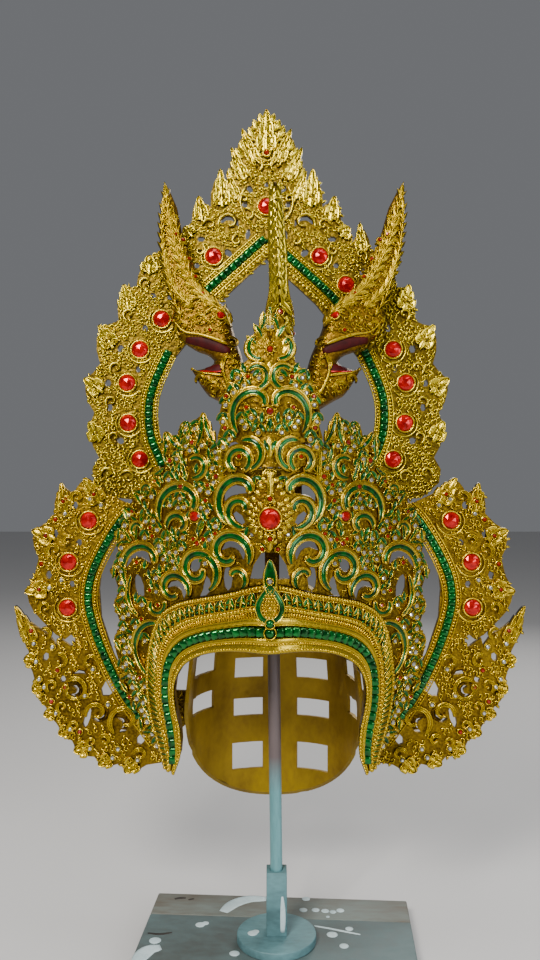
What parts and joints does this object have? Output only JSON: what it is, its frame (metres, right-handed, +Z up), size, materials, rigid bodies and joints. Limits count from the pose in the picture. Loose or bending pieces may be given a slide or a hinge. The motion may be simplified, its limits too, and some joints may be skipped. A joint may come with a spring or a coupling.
{
  "type": "thai headdress and stand",
  "caption": "Gilded Thai dance headdress with pierced flame halo, side wings, naga heads and stone-set brow band, held by a post on a board.",
  "frame": {"origin": "underside of the board, on the vertical line through the post's axis plane and the headdress's plane of symmetry", "axes": "+Z up; -Y is the way the face opening looks; +X is to the right as seen from the front"},
  "size_m": [0.5022, 0.2251, 0.846],
  "materials": {
    "gold_relief": "gold leaf and gold paint over cast relief, bright on the ridges and brown in the hollows",
    "halo_gold": "gold paint over cast relief, a little greener and duller than the front",
    "cap_ochre": "matte ochre gold paint over a moulded shell, brushed streaks",
    "red_stone": "clear red faceted paste stone, backed",
    "green_stone": "deep green faceted paste stones set edge to edge",
    "stand_paint": "grey-blue brushed paint with white splashes, worn",
    "post_metal": "steel rod, dull brown-grey above, painted grey-blue below"
  },
  "bodies": {
    "root": {"skull_cap": "cap_ochre", "tiara_wall": "gold_relief", "brow_band": "gold_relief", "spire": "gold_relief", "medallion": "gold_relief", "brow_drop": "gold_relief", "medallion_stone": "red_stone", "brow_gem": "green_stone", "brow_chain_top_left": "green_stone", "brow_chain_top_right": "green_stone", "brow_chain_leg_left": "green_stone", "brow_chain_leg_right": "green_stone", "wing_left": "gold_relief", "wing_right": "gold_relief", "wing_stone_left_1": "red_stone", "wing_stone_right_1": "red_stone", "wing_stone_left_2": "red_stone", "wing_stone_right_2": "red_stone", "wing_stone_left_3": "red_stone", "wing_stone_right_3": "red_stone", "wing_chain_high_left": "green_stone", "wing_chain_high_right": "green_stone", "wing_chain_low_left": "green_stone", "wing_chain_low_right": "green_stone", "halo": "halo_gold", "halo_stone_top": "red_stone", "halo_stone_left_1": "red_stone", "halo_stone_right_1": "red_stone", "halo_stone_left_2": "red_stone", "halo_stone_right_2": "red_stone", "halo_stone_left_3": "red_stone", "halo_stone_right_3": "red_stone", "halo_stone_left_4": "red_stone", "halo_stone_right_4": "red_stone", "halo_stone_left_5": "red_stone", "halo_stone_right_5": "red_stone", "halo_stone_left_6": "red_stone", "halo_stone_right_6": "red_stone", "halo_stone_left_7": "red_stone", "halo_stone_right_7": "red_stone", "halo_chain_roof_left": "green_stone", "halo_chain_roof_right": "green_stone", "halo_chain_side_left": "green_stone", "halo_chain_side_right": "green_stone", "neck_column": "gold_relief", "naga_left": "gold_relief", "naga_right": "gold_relief", "naga_centre": "gold_relief", "post": "post_metal", "socket": "stand_paint", "disc": "stand_paint", "board_front": "stand_paint", "board_back": "stand_paint"}
  },
  "joints": []
}
